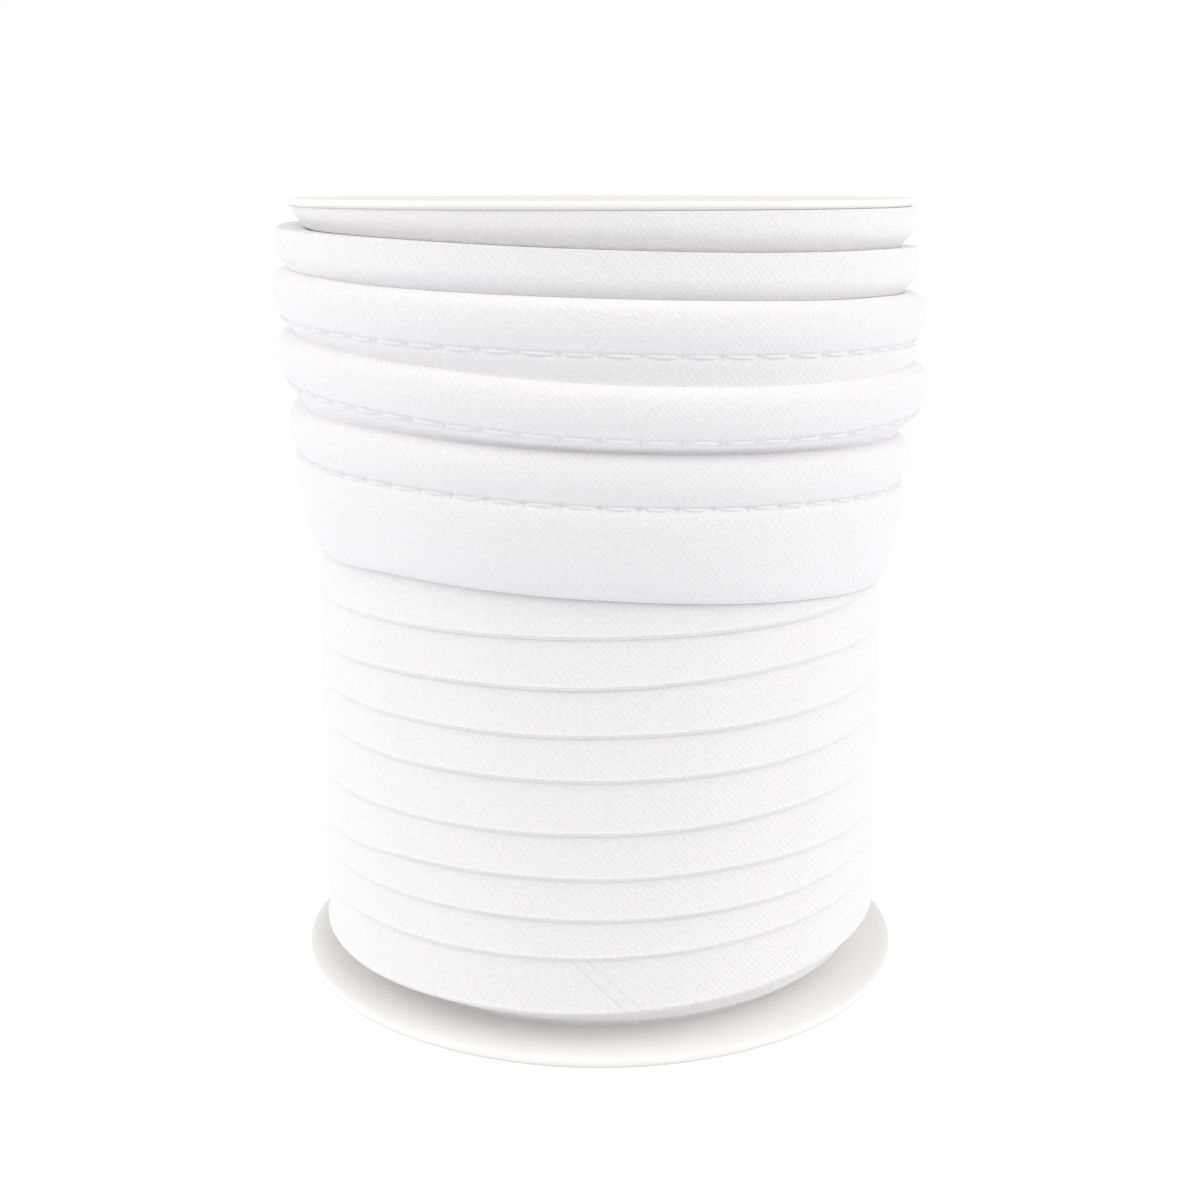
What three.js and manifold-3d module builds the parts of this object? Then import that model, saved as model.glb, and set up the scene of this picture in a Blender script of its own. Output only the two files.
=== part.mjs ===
// A roll of bias piping. The piping is a tape with a soft cord along its upper edge and a flat flange below,
// wound between two thin card discs. The tape was laid from the bottom to the top, turned back there and came
// down again for five turns. Those five show their cords, and the layer under them shows only the lower strip
// of each flange.
//
// Millimetres, +Z up. The origin is the middle of the lower disc's underside. The front is -Y, and places
// along the tape are counted in turns from there, to the right, which is counter-clockwise from above.

import * as THREE from "three";
import { mergeVertices } from "three/addons/utils/BufferGeometryUtils.js";
import Module from "manifold-3d";

const ROLL_HEIGHT = 80.6;
const DISC_RADIUS = 32;
const DISC_THICKNESS = 0.8;
const DISC_ROUND = 0.15; // the worn corner of a disc's rim
const SEAT_GAP = 0.3; // between the winding and each disc

const TAPE_WIDTH = 13.8;
const STITCH_DROP = 4.6; // from the top of the cord down to the stitches
const STITCH_INSET = 0.45; // how far the stitches lie inside the cord's belly
const FLANGE_LAYERS = 1; // the thickness of the flange's lower edge
const FURROW = 1.9; // the depth of the furrow between two turns

const STRIP_RADIUS = 29.95; // at the lower edge of a flange strip
const STRIP_TUCK = 29.2; // where a strip disappears under the one above it
const EDGE_RADIUS = 30.05; // at the lower edge of the last cord turn's flange
const BURIED_RADIUS = 27.4; // the inner side of both layers, inside the drum
const HAIR = 0.02;

const STEPS_PER_TURN = 48;
const DISC_SEGMENTS = 96;
const SIDE = 1 / 6; // the tables' left and right heights lie this part of a turn from the front
const LIMB = 1 / 4; // and their radii this part of a turn

const WINDING_BASE = DISC_THICKNESS + SEAT_GAP;
const WINDING_TOP = ROLL_HEIGHT - DISC_THICKNESS - SEAT_GAP;

const FIRST_TURN = -0.5; // where the first cord turn shows from under the upper disc, at the back
const TAPE_END = 4 + 22 / STEPS_PER_TURN; // the cut end of the tape, at the back
const COVERED_END = TAPE_END - 1; // the last place where a later turn covers the flange
const FIRST_STRIP = -0.5;
const LAST_STRIP = 10;
const STRIP_RISE = 0.25; // the part of a turn in which the first strip comes up out of the drum

// The furrow above each cord turn, and the radius of the turn's belly. The first turn is pressed against the
// upper disc, so its furrow would lie above it.
const CORD_TURNS = [
  { turn: 0, left: 82.0, front: 81.2, right: 80.6, leftRadius: 31.5, rightRadius: 32.3 },
  { turn: 1, left: 77.5, front: 76.5, right: 76.0, leftRadius: 33.3, rightRadius: 32.7 },
  { turn: 2, left: 73.4, front: 72.3, right: 71.5, leftRadius: 33.8, rightRadius: 33.7 },
  { turn: 3, left: 67.0, front: 64.8, right: 64.2, leftRadius: 33.4, rightRadius: 34.1 },
  { turn: 4, left: 59.6, front: 58.5, right: 57.1, leftRadius: 32.6, rightRadius: 32.4 },
  { turn: 5, left: 52.0, front: 50.5, right: 49.0, leftRadius: 32.3, rightRadius: 32.2 },
];

// The lower edge of each flange strip of the layer below, from the bottom up.
const STRIP_TURNS = [
  { turn: -1, left: 1.6, front: 2.4, right: 2.8 },
  { turn: 0, left: 3.8, front: 4.2, right: 5.7 },
  { turn: 1, left: 9.1, front: 10.0, right: 10.9 },
  { turn: 2, left: 13.2, front: 13.7, right: 14.2 },
  { turn: 3, left: 16.6, front: 17.9, right: 17.9 },
  { turn: 4, left: 21.6, front: 22.3, right: 22.9 },
  { turn: 5, left: 27.2, front: 27.5, right: 27.9 },
  { turn: 6, left: 31.4, front: 31.8, right: 32.2 },
  { turn: 7, left: 35.6, front: 36.4, right: 37.1 },
  { turn: 8, left: 40.7, front: 41.2, right: 41.5 },
  { turn: 9, left: 45.0, front: 45.6, right: 46.0 },
  { turn: 10, left: 49.5, front: 50.0, right: 50.5 },
  { turn: 11, left: 54.0, front: 54.5, right: 55.0 },
];

// Half the outline of the drum that the earlier layers form, with the neck that they leave at the lower disc.
const DRUM = [
  { radius: 0, height: WINDING_BASE },
  { radius: 25.2, height: WINDING_BASE },
  { radius: 25.4, height: 2.1 },
  { radius: 27.6, height: 2.5 },
  { radius: 28.6, height: 4.6 },
  { radius: 28.6, height: 46.0 },
  { radius: 29.6, height: 52.0 },
  { radius: 29.6, height: WINDING_TOP },
  { radius: 0, height: WINDING_TOP },
];

// A cord turn's outline from furrow to furrow: how far each point lies below the upper furrow, or above the
// lower one, and how much of the full belly it has there.
const CORD_OUTLINE = [
  { below: 0, belly: 0 },
  { below: 0.25, belly: 0.5 },
  { below: 0.8, belly: 0.85 },
  { below: 1.8, belly: 1 },
  { above: 1.0, belly: 0.84 },
  { above: 0.3, belly: 0.5 },
  { above: 0, belly: 0 },
];
const OUTLINE_HEIGHT = 2.8; // a turn that shows less than this is flatter in proportion

const wasm = await Module();
wasm.setup();

// A height or radius that changes along the tape, as a smooth curve through its values at the given turns.
function along(samples) {
  const turns = samples.map((sample) => sample.turn);
  const values = samples.map((sample) => sample.value);
  const curve = new THREE.CubicInterpolant(turns, values, 1);
  return (turn) => curve.evaluate(turn)[0];
}

function heightLine(rows) {
  return along(rows.flatMap((row) => [
    { turn: row.turn - SIDE, value: row.left },
    { turn: row.turn, value: row.front },
    { turn: row.turn + SIDE, value: row.right },
  ]));
}

function radiusLine(rows) {
  return along(rows.flatMap((row) => [
    { turn: row.turn - LIMB, value: row.leftRadius },
    { turn: row.turn + LIMB, value: row.rightRadius },
  ]));
}

const cordLine = heightLine(CORD_TURNS);
const cordRadius = radiusLine(CORD_TURNS);
const stripLine = heightLine(STRIP_TURNS);
const furrowLine = (turn) => Math.min(WINDING_TOP, cordLine(turn));

// A cord turn that the next one covers from below, from furrow to furrow.
function coveredTurn(turn) {
  const top = furrowLine(turn);
  const bottom = furrowLine(turn + 1);
  const squeeze = Math.min(1, (top - bottom) / OUTLINE_HEIGHT);
  const floor = cordRadius(turn) - FURROW;
  return CORD_OUTLINE.map((point) => ({
    radius: floor + squeeze * FURROW * point.belly,
    height: "below" in point ? top - squeeze * point.below : bottom + squeeze * point.above,
  }));
}

// The last cord turn, whose whole tape shows: the cord, then the flange leaning in to its lower edge.
function openTurn(turn) {
  const top = furrowLine(turn);
  const belly = cordRadius(turn);
  const cord = CORD_OUTLINE.filter((point) => "below" in point).map((point) => ({
    radius: belly - FURROW * (1 - point.belly),
    height: top - point.below,
  }));
  return [
    ...cord,
    { radius: belly - STITCH_INSET, height: top - STITCH_DROP },
    { radius: EDGE_RADIUS, height: top - TAPE_WIDTH },
    { radius: EDGE_RADIUS - FLANGE_LAYERS, height: top - TAPE_WIDTH },
  ];
}

const cordTurn = (turn) => (turn < COVERED_END + 0.5 / STEPS_PER_TURN ? coveredTurn(turn) : openTurn(turn));

// The flange alone, a hair inside the open turn. A short piece of it fills in beside the tape's cut end, where
// the flange runs on under the last turn.
function bareFlange(turn) {
  const flange = openTurn(turn).slice(-3);
  return flange.map((point) => ({ radius: point.radius - HAIR, height: point.height }));
}

// A strip of flange: its lower edge, then its face leaning in until the strip above covers it.
function stripTurn(turn) {
  const risen = Math.min(1, (turn - FIRST_STRIP) / STRIP_RISE);
  return [
    { radius: STRIP_TUCK, height: stripLine(turn) },
    { radius: STRIP_TUCK + risen * (STRIP_RADIUS - STRIP_TUCK), height: stripLine(turn) },
    { radius: STRIP_TUCK, height: stripLine(turn + 1) },
  ];
}

// A closed body of tape wound from one turn to another. The section gives a turn's outline, which ends where
// the next turn's outline begins, so the turns are joined there.
function wound(from, to, section) {
  const steps = Math.round((to - from) * STEPS_PER_TURN);
  const goesDown = section(to)[0].height < section(from)[0].height;
  const positions = [];
  const faces = [];
  const outer = [];
  const inner = [];

  function place(step, point) {
    const angle = (from + step / STEPS_PER_TURN) * 2 * Math.PI;
    positions.push(point.radius * Math.sin(angle), -point.radius * Math.cos(angle), point.height);
    return positions.length / 3 - 1;
  }

  // Faces a polygon outwards, as a fan from its first corner. Turns that go down mirror turns that go up.
  function face(...corners) {
    for (let i = 1; i + 1 < corners.length; i++) {
      const [b, c] = goesDown ? [corners[i + 1], corners[i]] : [corners[i], corners[i + 1]];
      faces.push(corners[0], b, c);
    }
  }

  for (let step = 0; step <= steps; step++) {
    const outline = section(from + step / STEPS_PER_TURN);
    const follows = step + STEPS_PER_TURN > steps;
    outer[step] = (follows ? outline : outline.slice(0, -1)).map((point) => place(step, point));
    inner[step] ??= place(step, { radius: BURIED_RADIUS, height: outline[0].height });
    if (follows)
      inner[step + STEPS_PER_TURN] = place(step, { radius: BURIED_RADIUS, height: outline.at(-1).height });
  }
  for (let step = 0; step + STEPS_PER_TURN <= steps; step++)
    outer[step].push(outer[step + STEPS_PER_TURN][0]);

  for (let step = 0; step < steps; step++) {
    const [here, ahead] = [outer[step], outer[step + 1]];
    const turnLater = step + STEPS_PER_TURN;
    for (let i = 0; i + 1 < here.length; i++) face(here[i], ahead[i], ahead[i + 1], here[i + 1]);
    face(inner[step], inner[turnLater], inner[turnLater + 1], inner[step + 1]);
    if (step < STEPS_PER_TURN) face(inner[step], inner[step + 1], ahead[0], here[0]);
    if (turnLater >= steps) face(here.at(-1), ahead.at(-1), inner[turnLater + 1], inner[turnLater]);
  }
  face(inner[0], ...outer[0], inner[STEPS_PER_TURN]);
  face(inner[steps], inner[steps + STEPS_PER_TURN], ...outer[steps].reverse());

  const geometry = new THREE.BufferGeometry();
  geometry.setAttribute("position", new THREE.Float32BufferAttribute(positions, 3));
  geometry.setIndex(faces);
  return geometry;
}

function turned(outline, segments) {
  const points = outline.map((point) => new THREE.Vector2(point.radius, point.height));
  return new THREE.LatheGeometry(points, segments).rotateX(Math.PI / 2);
}

function solidOf(geometry) {
  geometry.deleteAttribute("normal");
  geometry.deleteAttribute("uv");
  const merged = mergeVertices(geometry, 1e-4);
  const vertProperties = merged.getAttribute("position").array;
  const triVerts = new Uint32Array(merged.index.array);
  return new wasm.Manifold(new wasm.Mesh({ numProp: 3, vertProperties, triVerts }));
}

function geometryOf(solid) {
  const { vertProperties, triVerts } = solid.getMesh();
  const geometry = new THREE.BufferGeometry();
  geometry.setAttribute("position", new THREE.BufferAttribute(vertProperties, 3));
  geometry.setIndex(new THREE.BufferAttribute(triVerts, 1));
  geometry.computeVertexNormals();
  return geometry;
}

const cloth = new THREE.MeshStandardMaterial({ color: 0xf1f0f3, roughness: 0.9, metalness: 0 });
const card = new THREE.MeshStandardMaterial({ color: 0xf6f4ef, roughness: 0.75, metalness: 0 });

function winding() {
  const drum = solidOf(turned(DRUM, STEPS_PER_TURN));
  const strips = solidOf(wound(FIRST_STRIP, LAST_STRIP, stripTurn));
  const cords = solidOf(wound(FIRST_TURN, TAPE_END, cordTurn));
  const step = 1 / STEPS_PER_TURN;
  const flange = solidOf(wound(COVERED_END - step, COVERED_END + step, bareFlange));
  const joined = drum.add(strips).add(cords).add(flange);
  const mesh = new THREE.Mesh(geometryOf(joined), cloth);
  mesh.name = "winding";
  return mesh;
}

function disc(name, height) {
  const outline = [
    { radius: 0, height: 0 },
    { radius: DISC_RADIUS - DISC_ROUND, height: 0 },
    { radius: DISC_RADIUS, height: DISC_ROUND },
    { radius: DISC_RADIUS, height: DISC_THICKNESS - DISC_ROUND },
    { radius: DISC_RADIUS - DISC_ROUND, height: DISC_THICKNESS },
    { radius: 0, height: DISC_THICKNESS },
  ];
  const mesh = new THREE.Mesh(turned(outline, DISC_SEGMENTS), card);
  mesh.name = name;
  mesh.position.z = height;
  return mesh;
}

const roll = new THREE.Group();
roll.add(winding());
roll.add(disc("disc_bottom", 0));
roll.add(disc("disc_top", ROLL_HEIGHT - DISC_THICKNESS));

export default roll;
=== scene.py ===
# %% [markdown]
# # A roll of bias piping
# The roll is one long tape wound between two thin discs of card. The tape is a strip of cloth that is cut
# on the bias, folded round a soft cord and stitched below it, so that it has a corded edge and a flat flange.
# The packed model gives the roll's real size and place. Everything here is modelled round that frame.
# %% Load the packed model
from collections import namedtuple
from math import cos, degrees, exp, pi, radians, sin, sqrt, tau

import bmesh
import bpy
import numpy as np
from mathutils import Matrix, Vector, noise


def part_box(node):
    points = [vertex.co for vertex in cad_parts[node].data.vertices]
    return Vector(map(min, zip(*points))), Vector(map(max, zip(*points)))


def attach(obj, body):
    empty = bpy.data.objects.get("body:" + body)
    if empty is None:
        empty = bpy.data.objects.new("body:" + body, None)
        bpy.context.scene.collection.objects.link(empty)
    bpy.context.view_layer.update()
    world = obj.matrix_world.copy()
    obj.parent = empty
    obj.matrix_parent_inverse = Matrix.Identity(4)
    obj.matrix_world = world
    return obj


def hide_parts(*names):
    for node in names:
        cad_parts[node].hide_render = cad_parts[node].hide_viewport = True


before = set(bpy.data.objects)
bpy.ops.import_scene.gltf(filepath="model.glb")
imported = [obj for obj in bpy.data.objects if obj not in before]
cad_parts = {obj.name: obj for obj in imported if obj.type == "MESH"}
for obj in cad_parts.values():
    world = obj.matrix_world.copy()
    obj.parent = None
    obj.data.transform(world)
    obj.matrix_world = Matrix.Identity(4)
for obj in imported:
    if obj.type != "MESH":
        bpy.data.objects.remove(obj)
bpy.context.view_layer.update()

print("nodes of the packed model:", sorted(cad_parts))

# %% [markdown]
# ## Sizes
# The sizes in this file are in millimetres, because a tape is sold by its millimetres, and MM turns them into
# Blender's metres. Those that the packed model already has are measured on it rather than written twice.
# %% Sizes from the frame
MM = 0.001
WINDING_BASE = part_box("winding")[0].z / MM
WINDING_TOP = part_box("winding")[1].z / MM
DISC_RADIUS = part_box("disc_bottom")[1].x / MM
DISC_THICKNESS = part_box("disc_bottom")[1].z / MM
print(f"disc {2 * DISC_RADIUS:.1f} mm across, winding {WINDING_TOP - WINDING_BASE:.1f} mm tall")

# %% [markdown]
# ## Camera
# The camera comes first, so that every later render can be laid beside the photograph. The two disc rims are
# circles of the same size, so the shapes of their ellipses give the camera's distance, height and tilt. It
# stands almost level with the upper disc. A small shift does what a photographer's shift lens does.
# %% Camera at the photograph's angle
CAMERA_DISTANCE = 0.1847
CAMERA_HEIGHT = 0.08234
CAMERA_PITCH = radians(10.336)
CAMERA_LENS = 52.54
CAMERA_SHIFT = -0.0833
CAMERA_NEAR = 0.01

camera = bpy.data.objects.new("camera", bpy.data.cameras.new("camera"))
bpy.context.scene.collection.objects.link(camera)
camera.location = (0, -CAMERA_DISTANCE, CAMERA_HEIGHT)
camera.rotation_euler = (pi / 2 - CAMERA_PITCH, 0, 0)
camera.data.lens = CAMERA_LENS
camera.data.shift_y = CAMERA_SHIFT
camera.data.clip_start = CAMERA_NEAR
bpy.context.scene.camera = camera
print(f"camera {CAMERA_DISTANCE:.3f} m in front of the axis, {degrees(CAMERA_PITCH):.1f} degrees down")

# %% [markdown]
# ## The lines that the tape follows
# A wound tape climbs or falls a little on every turn. Its lines were measured at five places round the
# front, and a smooth curve runs through them. Places along the tape are counted in turns from the front, to
# the right, so 0.25 is the right-hand side and 0.5 the back. Tables of a few heights are easier to correct
# than a curve drawn by hand.
# %% Heights of the furrows above each corded turn
Heights = namedtuple("Heights", "turn far_left left front right far_right")
PLACES = [angle / 360 for angle in (-60, -40, 0, 40, 60)]

FURROWS = [
    Heights(0, 82.1, 81.8, 81.2, 80.7, 80.6),
    Heights(1, 77.55, 77.27, 76.45, 75.98, 75.95),
    Heights(2, 73.42, 73.0, 72.31, 71.64, 71.5),
    Heights(3, 66.99, 66.33, 64.78, 64.1, 64.2),
    Heights(4, 59.65, 59.48, 58.5, 57.65, 57.1),
    Heights(5, 52.0, 51.6, 50.5, 49.4, 49.0),
]
print("a corded turn shows", [round(a.front - b.front, 1) for a, b in zip(FURROWS, FURROWS[1:])], "mm")

# %% [markdown]
# Below the corded turns only the cut edges of the flanges can be measured, so their table holds the edges.
# %% Heights of the lower edge of each flange strip
STRIP_EDGES = [
    Heights(-1, 1.6, 1.9, 2.4, 2.7, 2.8),
    Heights(0, 3.75, 3.95, 4.45, 5.4, 5.75),
    Heights(1, 9.2, 9.56, 9.99, 10.7, 10.85),
    Heights(2, 13.3, 13.6, 13.8, 14.0, 14.2),
    Heights(3, 16.4, 17.53, 17.89, 17.95, 17.6),
    Heights(4, 21.6, 22.0, 22.3, 22.8, 22.95),
    Heights(5, 27.25, 27.4, 27.5, 27.75, 27.9),
    Heights(6, 31.45, 31.65, 31.8, 32.05, 32.1),
    Heights(7, 35.65, 36.2, 36.4, 37.1, 37.05),
    Heights(8, 40.67, 40.97, 41.24, 41.37, 41.6),
    Heights(9, 45.6, 45.9, 45.7, 46.0, 46.2),
    Heights(10, 49.5, 49.8, 50.0, 50.4, 50.5),
    Heights(11, 54.0, 54.3, 54.5, 54.9, 55.0),
]
print(len(STRIP_EDGES), "strip edges, the lowest at", STRIP_EDGES[0].front, "mm")

# %% [markdown]
# A curve between the measured places should have no kinks, because a wound tape has none. Each stretch is a
# cubic that meets the next one with the same slope. It stays close to the tables, and it needs no tool
# beyond a little arithmetic.
# %% A smooth curve through the measured places
def smooth_line(samples):
    """A curve through (turn, value) pairs, whose slope at a pair is the mean of the slopes on both sides."""
    turns, values = np.array(samples, float).T
    slopes = np.diff(values) / np.diff(turns)
    slopes = np.concatenate([slopes[:1], (slopes[1:] + slopes[:-1]) / 2, slopes[-1:]])

    def value_at(turn):
        turn = min(max(turn, turns[0]), turns[-1])
        after = min(max(int(np.searchsorted(turns, turn)), 1), len(turns) - 1)
        before = after - 1
        gap = turns[after] - turns[before]
        t = (turn - turns[before]) / gap
        return ((2 * t**3 - 3 * t**2 + 1) * values[before] + (3 * t**2 - 2 * t**3) * values[after]
                + ((t**3 - 2 * t**2 + t) * slopes[before] + (t**3 - t**2) * slopes[after]) * gap)

    return value_at


def height_line(rows):
    return smooth_line([(row.turn + place, height) for row in rows for place, height in zip(PLACES, row[1:])])


furrow_line = height_line(FURROWS)
strip_line = height_line(STRIP_EDGES)
print(f"furrow of the last turn at the front: {furrow_line(4):.1f} mm")

# %% [markdown]
# ## How far out the tape lies
# The discs are 64 mm across, and the corded turns bulge a little past them, some more than others. The
# radius is measured where the silhouette shows it, at the left and right limbs.
# %% Radii of the corded turns
Radii = namedtuple("Radii", "turn left right")
BELLIES = [
    Radii(0, 31.5, 32.3),
    Radii(1, 33.3, 32.7),
    Radii(2, 33.8, 33.7),
    Radii(3, 33.4, 34.1),
    Radii(4, 32.6, 32.4),
    Radii(5, 32.3, 32.2),
]
LIMB = 1 / 4
belly_samples = [(row.turn - LIMB, row.left) for row in BELLIES]
belly_samples += [(row.turn + LIMB, row.right) for row in BELLIES]
belly_line = smooth_line(sorted(belly_samples))
print(f"the widest cord reaches {max(radius for _, radius in belly_samples)} mm from the axis")

# %% [markdown]
# The last turn's flange is the only one that shows in full. Cloth on the bias stretches easily, so the tape's
# width varies there, and the width is one more curve.
# %% Width of the tape, from the top of the cord to the cut edge
TAPE_WIDTH = 13.8
width_line = smooth_line([(3.5, TAPE_WIDTH), (3.83, 14.3), (3.89, 13.77), (4, 13.6), (4.11, 14.35),
                          (4.17, 14.7), (4.4, 14.0)])
print(f"tape {TAPE_WIDTH} mm wide, and {width_line(4)} mm at the front of its last turn")

# %% [markdown]
# Cloth that is wound by hand is never quite even. A noise that changes slowly along the tape gives each line
# a small wander. It depends only on the place and a seed, so every run gives the same roll.
# %% Small unevenness
SEEDS_APART = 7.31


def wander(turn, seed, size, waves_per_turn=12):
    """A soft random number between about -size and size that changes slowly along the tape."""
    return size * noise.noise(Vector((turn * waves_per_turn, seed * SEEDS_APART, 0.5)))


def furrow(turn):
    return furrow_line(turn) + wander(turn, seed=1, size=0.05)


def belly(turn):
    return belly_line(turn) + wander(turn, seed=2, size=0.07, waves_per_turn=9)


print(f"furrow {furrow(4):.2f} mm high and belly {belly(4):.2f} mm out, at the front of the last turn")

# %% [markdown]
# ## Winding a section
# Every part of the tape is the same idea: a section that is carried round the roll while it climbs or falls.
# Blender's Spin does that, with a little lift at each step. It makes a regular screw, so afterwards each of
# its sections is moved to the measured lines. The helper also keeps, as a UV map in millimetres, how far
# each point lies along and across the cloth, which is what the weave needs.
# %% The helper that winds a short stretch
TAPE_UV = "tape"


def spot(turn, radius, height):
    angle = turn * tau
    return Vector((radius * sin(angle), -radius * cos(angle), height)) * MM


def distance(a, b):
    return sqrt(sum((x - y) ** 2 for x, y in zip(a, b)))


def wind_stretch(outline, first, last, steps, girth):
    """Spins an outline, a function of the turn that gives (radius, height) pairs, between two turns."""
    stretch = bmesh.new()
    uv = stretch.loops.layers.uv.new(TAPE_UV)
    verts = [stretch.verts.new(spot(first, *point)) for point in outline(first)]
    edges = [stretch.edges.new(pair) for pair in zip(verts, verts[1:])]
    rise = (outline(last)[0][1] - outline(first)[0][1]) * MM
    bmesh.ops.spin(stretch, geom=verts + edges, axis=(0, 0, 1), cent=(0, 0, 0), dvec=(0, 0, rise / steps),
                   angle=(last - first) * tau, steps=steps, use_merge=False, use_duplicate=False)
    stretch.verts.ensure_lookup_table()
    stretch.verts.index_update()
    flat = []
    for step in range(steps + 1):
        turn = first + (last - first) * step / steps
        section = outline(turn)
        across = 0
        for index, point in enumerate(section):
            across += distance(point, section[max(index - 1, 0)])
            stretch.verts[step * len(section) + index].co = spot(turn, *point)
            flat.append((turn * girth, across))
    for face in stretch.faces:
        for loop in face.loops:
            loop[uv].uv = flat[loop.vert.index]
    return stretch


print("a quarter turn to the right, at the disc's rim:", spot(0.25, DISC_RADIUS, 0))

# %% [markdown]
# Spin gets slow on a mesh that has grown large. So a long winding is made as many short stretches, each on
# an empty mesh of its own, and the stretches are gathered in one mesh.
# %% The helper that winds the whole length
STEPS_PER_STRETCH = 24


def wind(mesh, outline, first, last, steps, girth):
    """Adds a whole winding to a mesh, stretch by stretch."""
    for start in range(0, steps, STEPS_PER_STRETCH):
        count = min(STEPS_PER_STRETCH, steps - start)
        begin = first + (last - first) * start / steps
        end = first + (last - first) * (start + count) / steps
        stretch = wind_stretch(outline, begin, end, count, girth)
        data = bpy.data.meshes.new("stretch")
        stretch.to_mesh(data)
        stretch.free()
        mesh.from_mesh(data)
        bpy.data.meshes.remove(data)


print(f"a winding is made in stretches of {STEPS_PER_STRETCH} steps")

# %% [markdown]
# The stretches touch but aren't joined yet, and the tape's two ends are open. Merging the points that lie on
# each other joins them, filling the open loops closes the ends, and the normals are then turned outwards.
# Edges with a sharp angle stay sharp, so a cut edge looks cut while the cloth beside it is smooth.
# %% The helper that finishes a piece
SAME_PLACE = 1e-7
SHARP_ANGLE = radians(50)


def close_and_finish(name, mesh):
    """Joins the stretches, closes the cut ends, faces everything outwards and makes the object."""
    bmesh.ops.remove_doubles(mesh, verts=mesh.verts, dist=SAME_PLACE)
    open_edges = [edge for edge in mesh.edges if edge.is_boundary]
    bmesh.ops.holes_fill(mesh, edges=open_edges, sides=0)
    bmesh.ops.recalc_face_normals(mesh, faces=mesh.faces)
    for face in mesh.faces:
        face.smooth = True
    for edge in mesh.edges:
        edge.smooth = edge.is_manifold and edge.calc_face_angle() < SHARP_ANGLE
    data = bpy.data.meshes.new(name)
    mesh.to_mesh(data)
    mesh.free()
    piece = bpy.data.objects.new(name, data)
    bpy.context.scene.collection.objects.link(piece)
    triangles = sum(len(face.vertices) - 2 for face in data.polygons)
    print(f"{name}: {triangles} triangles")
    return piece


print(f"edges sharper than {degrees(SHARP_ANGLE):.0f} degrees stay sharp")

# %% [markdown]
# ## The corded turns
# On the real tape the cloth goes over the cord, is held by the stitches under it, and runs on as the flange.
# Each turn's flange is tucked in behind the next turn's cord, so a deep furrow shows between two turns. The
# last turn lies on top of everything, and its whole flange shows down to the cut edge. One section that
# changes with the turn does all of this, and a real section, with its two layers of cloth, gives true
# furrows and a true cut edge. It is built from a few soft steps, which come first.
# %% Soft steps
def clamp(value):
    return min(max(value, 0.0), 1.0)


def ease(value):
    """Goes from 0 to 1 with a soft start and a soft end."""
    value = clamp(value)
    return value * value * (3 - 2 * value)


def quarter_round(value):
    """Goes from 0 to 1 as a quarter circle does, with a steep start."""
    return sqrt(1 - (1 - clamp(value)) ** 2)


print(f"at a quarter of the way: ease {ease(0.25):.2f}, quarter_round {quarter_round(0.25):.2f}")

# %% [markdown]
# The cord gives a turn its round top. On a turn that shows only a low band, the cord is squeezed flatter. The
# second turn's top lies hidden behind the turn above it, so there the round top starts higher, out of sight.
# %% The round top over the cord
CORD_RADIUS = 1.9
FURROW = 1.5                     # the depth of the furrow over a cord
SHOULDER = 1.5                   # the height of the cord's round top
hidden_line = smooth_line([(0.6, 0.7), (0.75, 0.9), (1, 1.4), (1.25, 1.3), (1.5, 0.6), (1.75, 0), (2, 0)])


def cord_radius(turn, drop, squeeze=1):
    """The radius over the cord at a drop, which is measured down from the furrow above."""
    shown = quarter_round((drop + hidden_line(turn)) / (SHOULDER * squeeze))
    return belly(turn) - FURROW * (1 - squeeze * shown)


print(f"the last turn's cord: {cord_radius(4, 0):.2f} mm at its furrow, {cord_radius(4, SHOULDER):.2f} below")

# %% [markdown]
# Under the cord the stitches pull the cloth in. The groove follows their whole line, and it is deepest at
# each needle hole, so the light catches a row of small dimples.
# %% The groove along the stitches
SEAM_DROP = 4.9                  # from the top of the cord down to its stitches
SEAM_INSET = 0.75                # how far the stitches lie inside the cord's belly
STITCHES_PER_TURN = 57
GROOVE_DEPTH = 0.16
GROOVE_HEIGHT = 0.28
DIMPLE_DEPTH = 0.18
DIMPLE_LENGTH = 0.11             # as a part of one stitch


def seam_groove(turn, drop):
    """The stitches pull the cloth in along their line, most at the needle holes."""
    stitch = turn * STITCHES_PER_TURN
    to_hole = abs(stitch - round(stitch))
    depth = GROOVE_DEPTH + DIMPLE_DEPTH * exp(-(to_hole / DIMPLE_LENGTH) ** 2)
    return depth * exp(-((drop - SEAM_DROP) / GROOVE_HEIGHT) ** 2)


print(f"groove {seam_groove(0, SEAM_DROP):.2f} mm deep at a needle hole")

# %% [markdown]
# Now the whole face, from the furrow down. A covered turn's flange turns in over the next cord, softly, and
# goes on behind it. The last turn isn't covered, so its flange swells out below the stitches and then hangs
# down to its cut edge. Between the two a short part of a turn blends them.
# %% The face of the tape
FIRST_TURN = -0.8
TAPE_END = 4 + 22 / 48           # the cut end of the tape, at the back
COVERED_END = TAPE_END - 1       # the last place where a later turn lies on the flange
UNCOVER = 0.05                   # the part of a turn in which the flange comes out from under it
BELLY_DROP = 2.6                 # below this the cloth goes in towards the stitches
FULL_HEIGHT = 2.8                # a turn that shows less than this is flatter in proportion
TUCK = 1.5                       # a flange turns in over the next cord in at least this height
CREASE = 0.5                     # a flange turns in by at least this much
EDGE_RADIUS = 30.42              # at the lower edge of the last turn's flange
SWELL = 0.35                     # how far the last turn's flange swells out below the stitches
SWELL_PART = 0.25                # the part of the flange in which it does so


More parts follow.
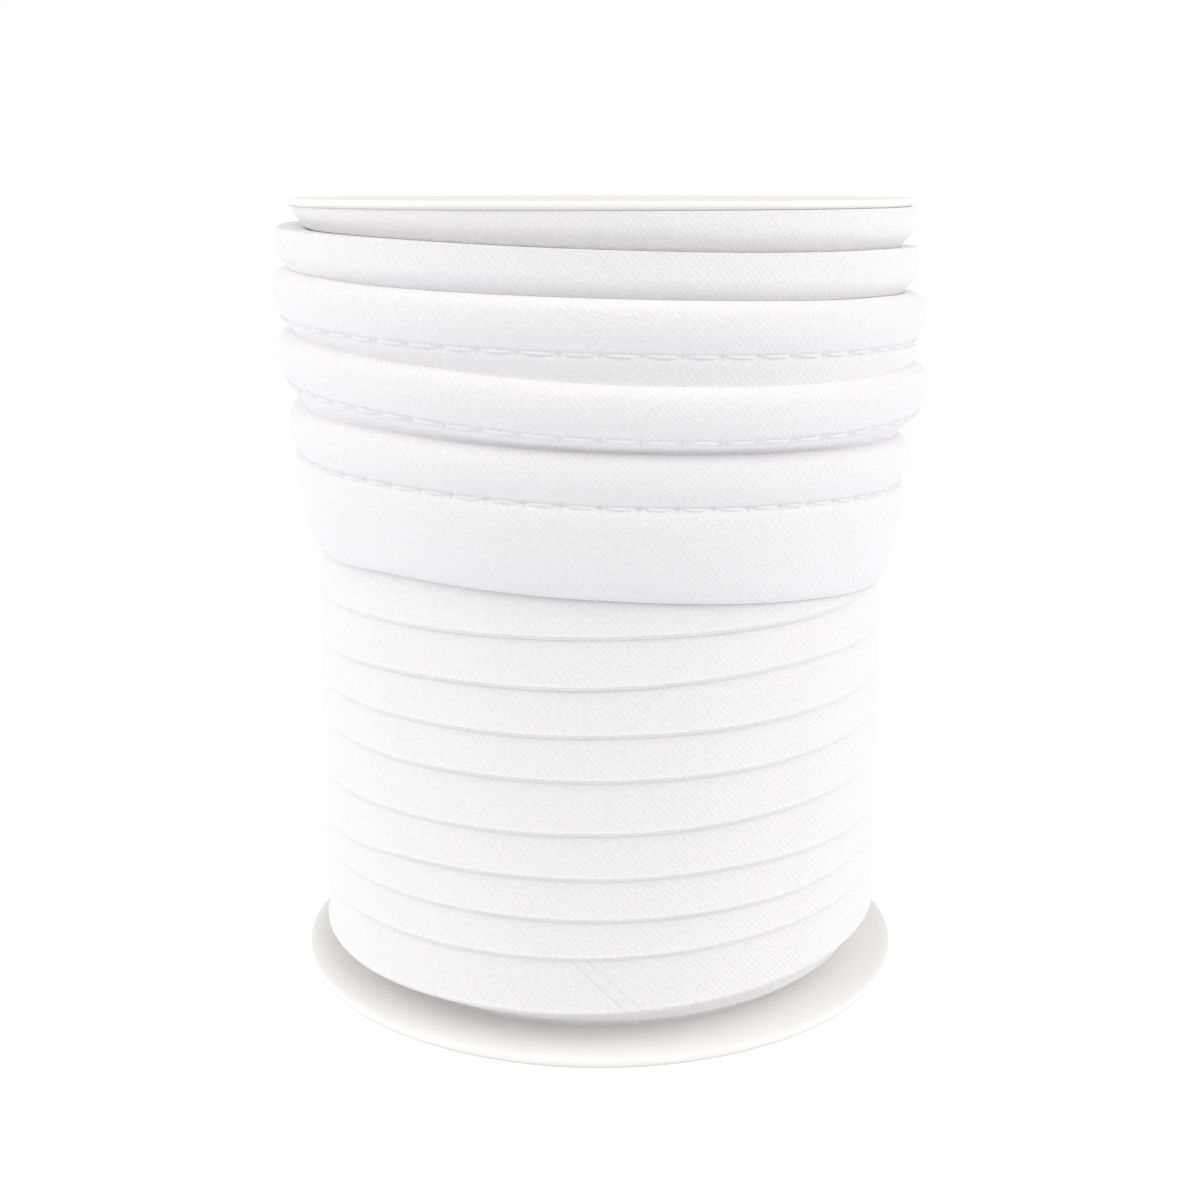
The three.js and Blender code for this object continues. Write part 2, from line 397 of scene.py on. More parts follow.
def face_radius(turn, drop, room):
    """The radius of the tape's face at a drop, on a turn whose next furrow lies lower by room."""
    squeeze = min(1, room / FULL_HEIGHT)
    body = cord_radius(turn, drop, squeeze)
    body -= SEAM_INSET * ease((drop - BELLY_DROP) / (SEAM_DROP - BELLY_DROP)) + seam_groove(turn, drop)
    next_floor = min(cord_radius(turn + 1, 0), body - CREASE)
    start = min(SEAM_DROP, room - TUCK * squeeze)
    tucked = body - (body - next_floor) * ease((drop - start) / (room - start))
    tucked -= CORD_RADIUS * quarter_round((drop - room) / SHOULDER)
    uncovered = ease((turn - COVERED_END) / UNCOVER)
    down = clamp((drop - SEAM_DROP) / (width_line(turn) - SEAM_DROP))
    opened = body + (EDGE_RADIUS - body) * down ** 2 + SWELL * quarter_round(down / SWELL_PART) * (1 - down)
    return tucked + (opened - tucked) * uncovered


print(f"{TAPE_END - FIRST_TURN:.2f} corded turns, uncovered from turn {COVERED_END:.2f} on")

# %% [markdown]
# A bias tape is cut through both of its layers, but they never lie quite edge to edge. Here the inner layer
# reaches a little lower than the outer one, which shows as a fine double line along every cut edge.
# %% The cut edge of the two layers
CLOTH = 0.16                     # one layer of the folded cloth
FLANGE = 2 * CLOTH               # the flange is two layers
LAYER_STEP = 0.3                 # the inner layer's edge lies this much lower than the outer one's
EDGE_ROUND = 0.06                # the cut edges are rounded by about this much


def cut_edge(radius, low):
    """The lower edges of the outer and the inner layer, slightly rounded, from the face to the back."""
    outer, inner_face, back = low + LAYER_STEP, radius - CLOTH, radius - FLANGE
    return [(radius, outer + EDGE_ROUND), (radius - 0.05, outer), (inner_face, outer + 0.01),
            (inner_face - 0.01, low + EDGE_ROUND), (inner_face - EDGE_ROUND, low),
            (back + 0.05, low), (back, low + EDGE_ROUND)]


print(f"the flange is {FLANGE} mm thick, in layers of {CLOTH} mm")

# %% [markdown]
# The section is a closed loop: down the face, round the cut edge, up the flange's back and round the back of
# the cord. Its points lie closer together where it bends, and every turn has the same number of them, because
# Spin makes each step a copy of the one before.
# %% The whole section of the corded tape
CORD_DROPS = (0, 0.03, 0.1, 0.22, 0.4, 0.65, 1.0, 1.4, 1.9, 2.6, 3.3, 3.9)
SEAM_DROPS = (4.45, 4.65, 4.8, 4.9, 5.0, 5.15, 5.35)
SHOWN_PARTS = (0.15, 0.3, 0.45, 0.6, 0.72, 0.82, 0.9, 0.95, 0.98, 1)
LOWER_PARTS = (0.08, 0.2, 0.4, 0.65, 0.88)
BACK_DROPS = (3.6, 2.8, 1.9, 1.0, 0.35, 0.08)
SCALED_ROOM = 5.9                # a turn that shows less than this has its points closer together
LEAST_ROOM = 0.3
CLEAR = 0.02                     # the air between cloth and card
TOP_OF_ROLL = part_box("disc_top")[0].z / MM - CLEAR


def flange_back_drops(room, width, scale):
    """The few points on the flange's back, from its lower edge up to the stitches."""
    return width - 2, room + 0.6 * (width - room), room + 0.1, 0.8 * room, scale * 4.8


def tape_section(turn):
    top = furrow(turn)
    room = max(top - furrow(turn + 1), LEAST_ROOM)
    width = width_line(turn) + wander(turn, seed=3, size=0.05, waves_per_turn=20)
    scale = min(1, room / SCALED_ROOM)
    drops = [scale * drop for drop in CORD_DROPS + SEAM_DROPS]
    seam_end = drops[-1]
    drops += [seam_end + part * (room - seam_end) for part in SHOWN_PARTS]
    drops += [room + part * (width - room) for part in LOWER_PARTS]
    section = [(face_radius(turn, drop, room), top - drop) for drop in drops]
    section += cut_edge(face_radius(turn, width, room), top - width)
    for drop in flange_back_drops(room, width, scale):
        section.append((face_radius(turn, drop, room) - FLANGE, top - drop))
    for drop in (scale * drop for drop in BACK_DROPS):
        wall = face_radius(turn, drop, room) - FLANGE
        back = quarter_round(1 - abs(drop / CORD_RADIUS / scale - 1))
        section.append((min(wall, belly(turn) - CORD_RADIUS * (1 + back)), top - drop))
    section = [(radius, min(height, TOP_OF_ROLL)) for radius, height in section]
    return section + section[:1]


print(len(tape_section(4)) - 1, "points in the section of the corded tape")

# %% [markdown]
# With six steps to a stitch, each dimple has its own points. All the turns are one mesh, as the real tape is
# one piece.
# %% Wind the corded turns
STEPS_PER_STITCH = 6
CORD_GIRTH = tau * 32.5
cord_steps = round((TAPE_END - FIRST_TURN) * STITCHES_PER_TURN * STEPS_PER_STITCH)
mesh = bmesh.new()
wind(mesh, tape_section, FIRST_TURN, TAPE_END, cord_steps, CORD_GIRTH)
print(f"{cord_steps} steps of {CORD_GIRTH / STITCHES_PER_TURN / STEPS_PER_STITCH:.2f} mm along the tape")

# %% [markdown]
# The cloth's marks beside the stitches need to know where the seam is, and the seam climbs and falls with the
# furrow. A second UV map says it: how many stitches along, and how many millimetres below the seam. Where a
# turn shows too little for its stitches to be seen, the map puts the seam far away, so no mark is drawn.
# %% A second map, that says where the seam is
SEAM_UV = "seam"
SEAM_SHOWS = 5.2                 # a turn that shows less than this hides its stitches


def seam_shows(turn):
    return furrow(turn) - furrow(turn + 1) > SEAM_SHOWS or turn > COVERED_END


def add_seam_map(mesh):
    """Counts stitches along the tape, and millimetres down from the stitch line across it."""
    tape_map, seam_map = mesh.loops.layers.uv[TAPE_UV], mesh.loops.layers.uv.new(SEAM_UV)
    seams = {}
    for face in mesh.faces:
        for loop in face.loops:
            turn = loop[tape_map].uv.x / CORD_GIRTH
            if turn not in seams:
                seams[turn] = furrow(turn) - SEAM_DROP if seam_shows(turn) else WINDING_BASE
            loop[seam_map].uv = (turn * STITCHES_PER_TURN, seams[turn] - loop.vert.co.z / MM)


add_seam_map(mesh)
tape_cords = close_and_finish("tape_cords", mesh)

# %% [markdown]
# ## The flange strips
# Under the corded turns lies the layer that was wound before them. Each of its turns covers the cord of the
# turn below, so only a strip of every flange shows. The upper tape lies outside the lower one, and its cut
# edge stands proud of it. A strip is a thin closed section of two layers that leans in at the top.
# %% The section of a flange strip
FIRST_STRIP, LAST_STRIP = -0.6, 10
STRIP_RISE = 0.3                 # the part of a turn in which the first strip comes up out of the roll
STRIP_SUNK = 1.7                 # how deep in the roll it starts
STRIP_RADIUS = 29.95
STRIP_AIR = 0.04                 # between a strip and the one that it covers
STRIP_PARTS = (1.4, 1.1, 1.0, 0.96, 0.85, 0.7, 0.5, 0.3, 0.15)
STRIP_MIDDLE = STRIP_PARTS.index(0.5)
FLARE = 0.08                     # how far the lower edge stands out from the rest
FLARE_HEIGHT = 0.25
OVER_EDGE = 0.2                  # the lowest point of the face, over the outer layer's edge


def strip_edge(turn):
    return strip_line(turn) - LAYER_STEP / 2 + wander(turn, seed=4, size=0.09, waves_per_turn=16)


def strip_section(turn):
    low, above = strip_edge(turn), strip_edge(turn + 1)
    sunk = STRIP_SUNK * (1 - ease((turn - FIRST_STRIP) / STRIP_RISE))
    edge = STRIP_RADIUS - sunk + wander(turn, seed=5, size=0.05, waves_per_turn=14)
    lean = (FLANGE + STRIP_AIR) / (above - low)

    def face(height):
        return edge - lean * (height - low) + FLARE * exp(-(height - low - LAYER_STEP) / FLARE_HEIGHT)

    heights = [low + part * (above - low) for part in STRIP_PARTS]
    section = [(face(height), height) for height in heights + [low + LAYER_STEP + OVER_EDGE]]
    section += cut_edge(face(low + LAYER_STEP), low)
    section += [(face(height) - FLANGE, height) for height in (heights[STRIP_MIDDLE], heights[0])]
    return section + section[:1]


print(f"a strip at the front shows {strip_edge(5) - strip_edge(4):.1f} mm")

# %% [markdown]
# The strips are wound as the corded turns are. Their form is plain, so fewer steps to a turn are enough.
# %% Wind the flange strips
STRIP_STEPS_PER_TURN = 144
STRIP_GIRTH = tau * 29.6
strip_steps = round((LAST_STRIP - FIRST_STRIP) * STRIP_STEPS_PER_TURN)
mesh = bmesh.new()
wind(mesh, strip_section, FIRST_STRIP, LAST_STRIP, strip_steps, STRIP_GIRTH)
tape_strips = close_and_finish("tape_strips", mesh)

# %% [markdown]
# ## The earlier layers
# The tape below the strips is buried in the roll. Only its edges show, in the gap over the lower disc, where
# they form a neck that is narrower than the rest. A half outline that is spun once makes the whole drum.
# %% Spin the drum of earlier layers
Ring = namedtuple("Ring", "radius height")
NECK = [
    Ring(0, DISC_THICKNESS + CLEAR),
    Ring(25.2, DISC_THICKNESS + CLEAR),
    Ring(24.9, DISC_THICKNESS + 0.1),
    Ring(24.8, DISC_THICKNESS + 0.3),
    Ring(24.9, 2.0),
    Ring(25.9, 2.25),
    Ring(26.9, 2.25),
    Ring(27.0, 2.7),
    Ring(27.7, 2.9),
    Ring(27.9, 3.5),
    Ring(28.3, 3.9),
    Ring(28.4, 4.8),
    Ring(28.4, 44),
    Ring(27.0, 50),
    Ring(27.0, WINDING_TOP),
    Ring(0, WINDING_TOP),
]
DRUM_STEPS = 144
DRUM_GIRTH = tau * 28
mesh = bmesh.new()
wind(mesh, lambda turn: NECK, 0, 1, DRUM_STEPS, DRUM_GIRTH)
tape_inner = close_and_finish("tape_inner", mesh)

# %% [markdown]
# ## The stitches
# A row of machine stitches holds the cord in. Each is a short bar of thread that dives into a needle hole at
# both ends. The same winding helper makes them: a small round section that is carried along the seam and
# sinks at its ends. They are joined in one mesh, because there are over a hundred and fifty.
# %% The section of a stitch
THREAD_RADIUS = 0.17
THREAD_SIDES = 7
STITCH_GAP = 0.07                # the part of a stitch's length that each of its ends is short of the hole
STITCH_PROUD = 0.12              # how far the thread's middle lies outside the cloth
STITCH_DIVE = 0.38               # how far its ends sink
STITCH_SLANT = 0.05              # how much lower one end lies than the other
END_THICKNESS, ARCH_THICKNESS = 0.55, 0.45


def stitch_section(number):
    """Where a stitch starts and ends, and its section as a function of the turn."""
    first = (number + STITCH_GAP) / STITCHES_PER_TURN
    last = (number + 1 - STITCH_GAP) / STITCHES_PER_TURN

    def section(turn):
        share = (turn - first) / (last - first)
        top = furrow(turn)
        room = top - furrow(turn + 1)
        arch = quarter_round(1 - abs(2 * share - 1))
        middle = face_radius((first + last) / 2, SEAM_DROP, room)
        radius = middle + STITCH_PROUD - STITCH_DIVE * (1 - arch)
        height = top - SEAM_DROP + STITCH_SLANT * (0.5 - share)
        thick = THREAD_RADIUS * (END_THICKNESS + ARCH_THICKNESS * arch)
        corners = [tau * side / THREAD_SIDES for side in range(THREAD_SIDES + 1)]
        return [(radius + thick * cos(corner), height + thick * sin(corner)) for corner in corners]

    return first, last, section


STITCH_LENGTH = CORD_GIRTH / STITCHES_PER_TURN
print(f"a stitch is {STITCH_LENGTH:.2f} mm long from hole to hole")

# %% [markdown]
# The stitches are laid only where the seam shows. Where a turn is hidden too far, its stitches are too.
# %% Lay the stitches along the seam
STITCH_STEPS = 8
mesh = bmesh.new()
stitches = 0
for number in range(round(FIRST_TURN * STITCHES_PER_TURN), int(TAPE_END * STITCHES_PER_TURN)):
    first, last, section = stitch_section(number)
    if seam_shows(first):
        wind(mesh, section, first, last, STITCH_STEPS, CORD_GIRTH)
        stitches += 1
tape_stitches = close_and_finish("tape_stitches", mesh)
print(stitches, "stitches")

# %% [markdown]
# ## The card discs
# Each disc is punched from thin card, so its rim is square with slightly worn corners. A spun outline gives
# that in one go, with enough steps that the rim looks round from close by.
# %% Spin the discs
DISC_STEPS = 192
DISC_ROUND = 0.15                # the radius of the worn corners
DISC_BAND = 1                    # the width of the flat band inside the rim


def make_disc(name, base):
    top = base + DISC_THICKNESS
    rim, half = DISC_RADIUS, DISC_RADIUS * 0.5
    band, flat = rim - DISC_BAND, rim - DISC_ROUND
    corner = DISC_ROUND * (1 - sqrt(0.5))
    outline = [(0, base), (half, base), (band, base), (flat, base),
               (rim - corner, base + corner), (rim, base + DISC_ROUND), (rim, top - DISC_ROUND),
               (rim - corner, top - corner), (flat, top), (band, top), (half, top), (0, top)]
    mesh = bmesh.new()
    wind(mesh, lambda turn: outline, 0, 1, DISC_STEPS, tau * rim)
    return close_and_finish(name, mesh)


lower_disc = make_disc("lower_disc", 0)
upper_disc = make_disc("upper_disc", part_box("disc_top")[0].z / MM)

# %% [markdown]
# ## Materials
# A material here is a small network of nodes. These helpers add one node at a time and wire it up, so that
# each finish below reads as a recipe.
# %% Helpers for node networks
class Recipe:
    def __init__(self, owner, shader="Principled BSDF"):
        owner.use_nodes = True
        self.owner = owner
        self.tree = owner.node_tree
        self.shader = self.tree.nodes[shader]

    def add(self, kind, inputs=(), **settings):
        """A new node, with its inputs set to numbers or wired to other nodes."""
        node = self.tree.nodes.new(kind)
        for name, value in settings.items():
            setattr(node, name, value)
        for socket, value in dict(inputs).items():
            self.join(value, node.inputs[socket])
        return node

    def join(self, value, socket):
        if isinstance(value, bpy.types.NodeSocket):
            self.tree.links.new(value, socket)
        else:
            socket.default_value = value

    def uv(self, name):
        return self.add("ShaderNodeUVMap", uv_map=name).outputs[0]

    def parts(self, vector):
        return self.add("ShaderNodeSeparateXYZ", {0: vector}).outputs

    def noise(self, place, scale, detail):
        return self.add("ShaderNodeTexNoise", {"Vector": place, "Scale": scale, "Detail": detail}).outputs

    def math(self, operation, *values):
        return self.add("ShaderNodeMath", dict(enumerate(values)), operation=operation).outputs[0]

    def mix(self, share, low, high):
        """A number that goes from low to high as share goes from 0 to 1."""
        return self.add("ShaderNodeMix", {0: share, 2: low, 3: high}).outputs[0]

    def blend(self, value, start, end):
        """A number that goes softly from 0 to 1 while value goes from start to end."""
        node = self.add("ShaderNodeMapRange", {0: value, 1: start, 2: end}, interpolation_type="SMOOTHSTEP")
        return node.outputs[0]

    def tint(self, share, low, high):
        """A colour that goes from low to high as share goes from 0 to 1."""
        node = self.add("ShaderNodeMix", data_type="RGBA")
        for index, value in ((0, share), (6, low), (7, high)):
            self.join(value, node.inputs[index])
        return node.outputs[2]

    def set(self, **values):
        for name, value in values.items():
            self.join(value, self.shader.inputs[name.replace("_", " ")])


print("steps of a recipe:", [name for name in vars(Recipe) if not name.startswith("_")])

# %% [markdown]
# ## Plain weave on the bias
# In a plain weave each thread goes over one and under the next. Both sets of threads are sine waves, and the
# sign of their product says which set is on top. The tape is cut on the bias, so the threads run at 45
# degrees to it. The pattern reads the tape's own UV map, so it follows the cloth round the roll. A slow noise
# bends the threads a little, and another makes some of them thicker, as slubs do in real yarn.
# %% The weave
WARP_PITCH = 0.305               # between two threads of one set
WEFT_PITCH = 0.46                # and of the other
BEND_SCALE, BEND_SIZE = 0.5, 0.6
SLUB_SCALE, SLUB_LOW, SLUB_HIGH = 2.1, 0.36, 0.64
THIN_THREAD, THICK_THREAD = 0.55, 1.25
THREAD_FULLNESS = 0.6            # under 1 makes a thread's back broad
THREAD_DIP = 0.5                 # a thread's height between two crossings, as a part of its height on one


def bent_place(recipe, uv):
    """The place on the cloth, moved by a slow noise so that the threads aren't ruler straight."""
    bend = recipe.noise(uv, BEND_SCALE, 3.0)["Color"]
    bend = recipe.add("ShaderNodeVectorMath", {0: bend, 1: (0.5, 0.5, 0.5)}, operation="SUBTRACT").outputs[0]
    bend = recipe.add("ShaderNodeVectorMath", {0: bend, "Scale": BEND_SIZE}, operation="SCALE").outputs[0]
    return recipe.add("ShaderNodeVectorMath", {0: uv, 1: bend}, operation="ADD").outputs[0]


def weave_height(recipe):
    """The height of the threads, about 0 in the gaps and 1 on top, and the map of the slubs."""
    uv = recipe.uv(TAPE_UV)
    along, across, _ = recipe.parts(bent_place(recipe, uv))
    rising = recipe.math("ADD", along, across)
    falling = recipe.math("SUBTRACT", along, across)
    warp = recipe.math("SINE", recipe.math("MULTIPLY", rising, pi * sqrt(0.5) / WARP_PITCH))
    weft = recipe.math("SINE", recipe.math("MULTIPLY", falling, pi * sqrt(0.5) / WEFT_PITCH))
    warp_up = recipe.math("GREATER_THAN", recipe.math("MULTIPLY", warp, weft), 0.0)
    warp, weft = recipe.math("ABSOLUTE", warp), recipe.math("ABSOLUTE", weft)
    warp_back = recipe.math("POWER", warp, THREAD_FULLNESS)
    weft_back = recipe.math("POWER", weft, THREAD_FULLNESS)
    over = recipe.math("MULTIPLY", warp_back, recipe.mix(weft, THREAD_DIP, 1.0))
    under = recipe.math("MULTIPLY", weft_back, recipe.mix(warp, THREAD_DIP, 1.0))
    height = recipe.mix(warp_up, under, over)
    slub = recipe.blend(recipe.noise(uv, SLUB_SCALE, 2.0)["Fac"], SLUB_LOW, SLUB_HIGH)
    return recipe.math("MULTIPLY", height, recipe.mix(slub, THIN_THREAD, THICK_THREAD)), slub


print(f"threads {WARP_PITCH} and {WEFT_PITCH} mm apart, at 45 degrees to the tape")

# %% [markdown]
# Where the needle went through, the cloth is pulled into a small dimple with painted shade in it, and a fine
# painted shadow line runs along both sides of the stitches. The seam map makes both easy to place.
# %% Dimples and painted shade beside the stitches
HOLE_REACH, HOLE_FULL = 0.42, 0.05
HOLE_FLAT = 0.6                  # a dimple is longer across the seam than along it
LINE_AWAY = 0.22                 # from the middle of the stitches to the shadow line
LINE_REACH, LINE_FULL = 0.17, 0.02
LINE_SHARE = 0.4                 # how dark the line is beside a dimple


def seam_dimples_and_shade(recipe):
    """1 in the painted-shade dimples at the needle holes, less on the painted shadow lines beside the
    stitches, and 0 elsewhere.
    """
    stitch, down, _ = recipe.parts(recipe.uv(SEAM_UV))
    share = recipe.math("FRACT", stitch)
    to_hole = recipe.math("MINIMUM", share, recipe.math("SUBTRACT", 1.0, share))
    along = recipe.math("MULTIPLY", to_hole, STITCH_LENGTH)
    across = recipe.math("MULTIPLY", down, HOLE_FLAT)
    squares = recipe.math("ADD", recipe.math("POWER", along, 2.0), recipe.math("POWER", across, 2.0))
    hole = recipe.blend(recipe.math("SQRT", squares), HOLE_REACH, HOLE_FULL)
    from_line = recipe.math("SUBTRACT", recipe.math("ABSOLUTE", down), LINE_AWAY)
    line = recipe.blend(recipe.math("ABSOLUTE", from_line), LINE_REACH, LINE_FULL)
    return recipe.math("MAXIMUM", hole, recipe.math("MULTIPLY", line, LINE_SHARE))


print(f"each dimple reaches {HOLE_REACH} mm from its needle hole along the seam")

# %% [markdown]
# Bias tape is made of many short strips of cloth that are sewn end to end. Such a join follows a thread of
# the weave, so it crosses the tape at a slant. One shows on the lowest strip, as two fine lines.
# %% Marks of a bias join
JOIN_APART = 1.06                # the two lines of the join, across
JOIN_PLACE = 4.3                 # where it crosses the tape, along it
JOIN_REACH, JOIN_FULL = 0.2, 0.03
JOIN_SHARE = 0.6


def join_mark(recipe):
    """More than 0 on the two lines where two bias strips are sewn end to end, and 0 elsewhere."""
    along, across, _ = recipe.parts(recipe.uv(TAPE_UV))
    thread = recipe.math("SUBTRACT", recipe.math("ADD", along, JOIN_PLACE), across)
    away = recipe.math("ABSOLUTE", recipe.math("MULTIPLY", thread, sqrt(0.5)))
    to_line = recipe.math("ABSOLUTE", recipe.math("SUBTRACT", away, JOIN_APART / 2))
    return recipe.math("MULTIPLY", recipe.blend(to_line, JOIN_REACH, JOIN_FULL), JOIN_SHARE)


print(f"the two lines of the join lie {JOIN_APART} mm apart")

# %% [markdown]
# ## Cloth
# The cloth is white, with a faint cool painted shade in the gaps between its threads. The same weave also
# drives a
# Bump node, which bends the light as real threads would, at a depth of a few hundredths of a millimetre. A
# mark, where there is one, darkens the colour a little and sinks the surface; at the seam that darkening is
# painted shade.
# %% The cloth
GAP_SHADE_COLOUR = (0.88, 0.876, 0.893, 1)
THIN_COLOUR, THICK_COLOUR = (0.93, 0.926, 0.935, 1), (0.965, 0.962, 0.965, 1)
# the mark colour is painted shade in the seam's dimples and beside the stitches, and the join's own dark line
# at a bias join
MARK_AND_SHADE_COLOUR, MARK_AND_SHADE_SHARE, MARK_SINK = (0.35, 0.34, 0.37, 1), 0.16, 1.2
WEAVE_DEPTH = 0.06


def make_cloth(name, find_mark=None):
    recipe = Recipe(bpy.data.materials.new(name))
    height, slub = weave_height(recipe)
    thread = recipe.tint(slub, THIN_COLOUR, THICK_COLOUR)
    # painted shade in the gaps between the threads
    colour = recipe.tint(height, GAP_SHADE_COLOUR, thread)
    if find_mark:
        mark = find_mark(recipe)
        # darkens the colour: painted shade at the seam, the join's own line at a bias join
        colour = recipe.tint(recipe.math("MULTIPLY", mark, MARK_AND_SHADE_SHARE), colour, MARK_AND_SHADE_COLOUR)
        height = recipe.math("SUBTRACT", height, recipe.math("MULTIPLY", mark, MARK_SINK))
    bump = recipe.add("ShaderNodeBump", {"Height": height, "Distance": WEAVE_DEPTH * MM, "Strength": 0.6})
    recipe.set(Base_Color=colour, Roughness=0.9, Specular_IOR_Level=0.25, Normal=bump.outputs[0])
    recipe.set(Sheen_Weight=0.1, Sheen_Roughness=0.5)
    print(f"{name}: {len(recipe.tree.nodes)} nodes")
    return recipe.owner


piping_cloth = make_cloth("piping_cloth")
seamed_cloth = make_cloth("seamed_cloth", seam_dimples_and_shade)
joined_cloth = make_cloth("joined_cloth", join_mark)

# %% [markdown]
# ## Stitching thread
# The thread is smoother than the cloth. Fine slanted ridges stand for its twist, with painted shade, a little
# darker, between them.
# %% The thread
TWIST_ALONG, TWIST_ROUND = 0.3, 0.47
TWIST_DEPTH = 0.03
TWIST_SHADE_COLOURS = (0.86, 0.86, 0.88, 1), (0.95, 0.95, 0.95, 1)


def make_thread(name):
    recipe = Recipe(bpy.data.materials.new(name))
    along, across, _ = recipe.parts(recipe.uv(TAPE_UV))
    along = recipe.math("MULTIPLY", along, tau / TWIST_ALONG)
    across = recipe.math("MULTIPLY", across, tau / TWIST_ROUND)
    ridge = recipe.math("SINE", recipe.math("ADD", along, across))
    # painted shade in the grooves between the ridges
    colour = recipe.tint(ridge, *TWIST_SHADE_COLOURS)
    bump = recipe.add("ShaderNodeBump", {"Height": ridge, "Distance": TWIST_DEPTH * MM, "Strength": 0.5})
    recipe.set(Base_Color=colour, Roughness=0.6, Sheen_Weight=0.1, Normal=bump.outputs[0])
    return recipe.owner


stitch_thread = make_thread("stitch_thread")
print(f"the thread's ridges are {TWIST_ALONG} mm apart along it")

# %% [markdown]
# ## Card
# The discs are warm white card with soft fibre clouds. The lower edge of each punched rim has painted shade,
# darker and greyer: a painted shadow line where the lower disc stands on the floor and the upper disc sits on
# the tape.
# %% The card
CARD_COLOURS = (0.97, 0.958, 0.938, 1), (0.985, 0.977, 0.963, 1)
# painted shade: the colour of the shadow line along the lower edge of each rim
RIM_SHADE_COLOUR = (0.6, 0.58, 0.55, 1)
RIM_SHADE_REACH, RIM_SHADE_FULL, RIM_SHADE_SHARE = 0.35, 0.05, 0.45
CLOUD_SCALE, FIBRE_SCALE = 160.0, 2600.0
FIBRE_DEPTH = 0.03


def make_card(name):
    recipe = Recipe(bpy.data.materials.new(name))
    place = recipe.add("ShaderNodeTexCoord").outputs["Object"]
    clouds = recipe.noise(place, CLOUD_SCALE, 6.0)["Fac"]
    fibres = recipe.noise(place, FIBRE_SCALE, 3.0)["Fac"]
    colour = recipe.tint(clouds, *CARD_COLOURS)
    outward = recipe.parts(recipe.uv(TAPE_UV))[1]
    from_edge = recipe.math("ABSOLUTE", recipe.math("SUBTRACT", outward, DISC_RADIUS))
    # painted shade along the lower edge of the rim, where the disc meets what lies under it
    painted_shade = recipe.math("MULTIPLY", recipe.blend(from_edge, RIM_SHADE_REACH, RIM_SHADE_FULL), RIM_SHADE_SHARE)
    colour = recipe.tint(painted_shade, colour, RIM_SHADE_COLOUR)
    bump = recipe.add("ShaderNodeBump", {"Height": fibres, "Distance": FIBRE_DEPTH * MM, "Strength": 0.25})
    recipe.set(Base_Color=colour, Roughness=recipe.mix(fibres, 0.55, 0.75), Normal=bump.outputs[0])
    return recipe.owner


disc_card = make_card("disc_card")
# the darker lower edge of the card is painted shade
print(f"the card is worn up to {RIM_SHADE_REACH} mm from its lower edge")

# %% [markdown]
# ## Finishes on the pieces
# Each piece gets its material and the body that it rides on, and the table also names its slot in the part's
# record. Nothing on a roll of tape moves, so every piece rides on the root. Three pieces take the place of
# the packed model's own solids.
# %% Put the finishes on the pieces
FINISHES = [
    (tape_cords, seamed_cloth, "piping_cloth"),
    (tape_strips, joined_cloth, "piping_cloth"),
    (tape_inner, piping_cloth, "piping_cloth"),
    (tape_stitches, stitch_thread, "piping_cloth"),
    (lower_disc, disc_card, "disc_card"),
    (upper_disc, disc_card, "disc_card"),
]
for piece, material, slot in FINISHES:
    piece.data.materials.append(material)
    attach(piece, "root")
    print(f"{piece.name} is {material.name}")

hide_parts("winding")
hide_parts("disc_bottom")
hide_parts("disc_top")

# %% [markdown]
# ## Floor and light
# The roll stands on a plain white floor in very bright, soft light, as in a catalogue photograph. The floor
# glows a little, so that it stays white, and it darkens only where the roll stands on it.
# %% Floor
FLOOR_SIZE = 6                   # in metres, so that its edges are out of sight
FLOOR_GLOW = 0.75


def make_floor():
    mesh = bmesh.new()
    bmesh.ops.create_grid(mesh, x_segments=1, y_segments=1, size=FLOOR_SIZE)
    data = bpy.data.meshes.new("floor")
    mesh.to_mesh(data)
    mesh.free()
    floor = bpy.data.objects.new("floor", data)
    bpy.context.scene.collection.objects.link(floor)
    recipe = Recipe(bpy.data.materials.new("floor_white"))
    recipe.set(Base_Color=(0.5, 0.5, 0.5, 1), Roughness=1.0)
    recipe.set(Emission_Color=(1, 1, 1, 1), Emission_Strength=FLOOR_GLOW)
    data.materials.append(recipe.owner)
    floor.visible_diffuse = floor.visible_glossy = floor.visible_shadow = False
    print(f"floor {2 * max(vert.co.x for vert in data.vertices):.0f} m wide")


make_floor()

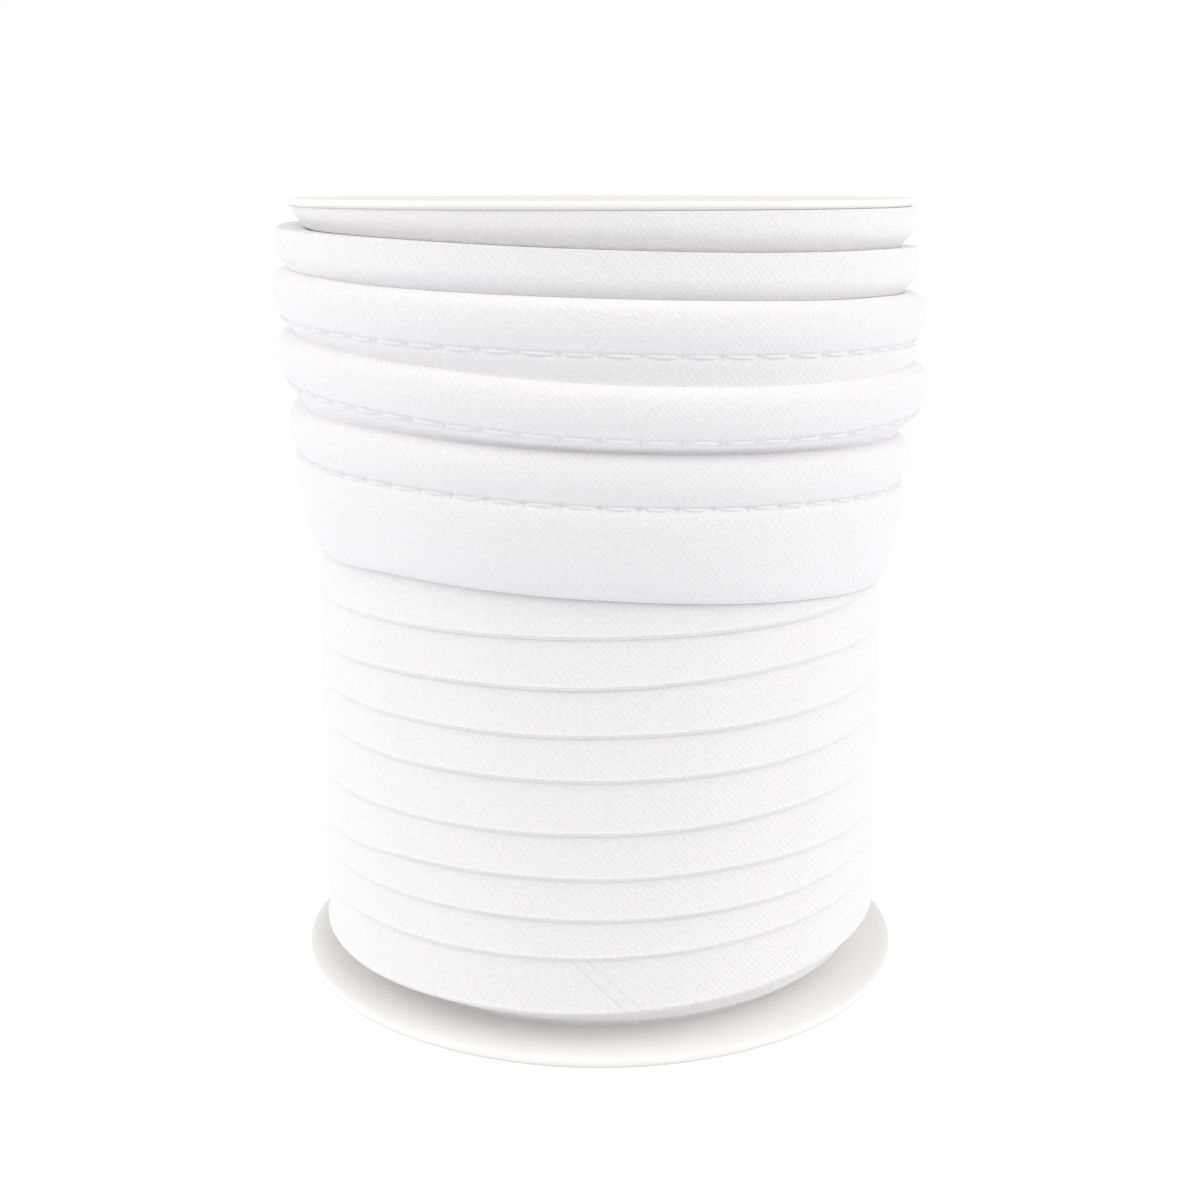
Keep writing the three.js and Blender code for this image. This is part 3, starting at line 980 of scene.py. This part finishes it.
# %% [markdown]
# The light is a white tent, made in the world's own network. Its brightness depends on the direction that
# the light comes from. It is bright at the two sides, so that the roll's limbs fade to white, and brightest
# high in front. The light from above ends a little behind overhead, so the upper disc's face isn't burnt
# out. Such a tent gives soft shade in the furrows and no hard shadow. The camera itself sees plain white in
# place of the tent.
# %% Light
TENT = 0.05                      # from everywhere
TENT_SIDES = 1.27
TENT_ABOVE = 0.92
TENT_SLANTING = 1.6              # added to the light from above, the more the further from overhead
TENT_BELOW = 1.0
TENT_BEHIND = 0.4
ABOVE_ENDS = 0.25                # how far behind overhead the light from above ends
WARM, COOL = (1.0, 0.985, 0.965, 1), (0.98, 0.977, 1.0, 1)
TINT_REACH = 0.6


def make_tent():
    world = bpy.data.worlds.new("studio")
    recipe = Recipe(world, "Background")
    across, depth, up = recipe.parts(recipe.add("ShaderNodeTexCoord").outputs["Generated"])
    sides = recipe.math("MULTIPLY", recipe.math("MULTIPLY", across, across), TENT_SIDES)
    slanting = recipe.math("MULTIPLY", recipe.math("ABSOLUTE", depth), TENT_SLANTING)
    above = recipe.math("MULTIPLY", recipe.math("MAXIMUM", up, 0.0), recipe.math("ADD", slanting, TENT_ABOVE))
    above = recipe.math("MULTIPLY", above, recipe.blend(depth, ABOVE_ENDS, 0.0))
    behind = recipe.math("POWER", recipe.math("MAXIMUM", depth, 0.0), 2.0)
    behind = recipe.math("MULTIPLY", behind, TENT_BEHIND)
    below = recipe.math("MULTIPLY", recipe.math("MINIMUM", up, 0.0), -TENT_BELOW)
    light = recipe.math("ADD", recipe.math("ADD", sides, TENT), recipe.math("ADD", above, below))
    light = recipe.math("ADD", light, behind)
    seen = recipe.add("ShaderNodeLightPath").outputs["Is Camera Ray"]
    colour = recipe.tint(recipe.blend(up, -TINT_REACH, TINT_REACH), COOL, WARM)
    recipe.set(Color=recipe.tint(seen, colour, (1, 1, 1, 1)), Strength=recipe.mix(seen, light, 1.0))
    print(f"tent of {len(recipe.tree.nodes)} nodes")
    return world


bpy.context.scene.world = make_tent()
bpy.context.scene.view_settings.view_transform = "Standard"
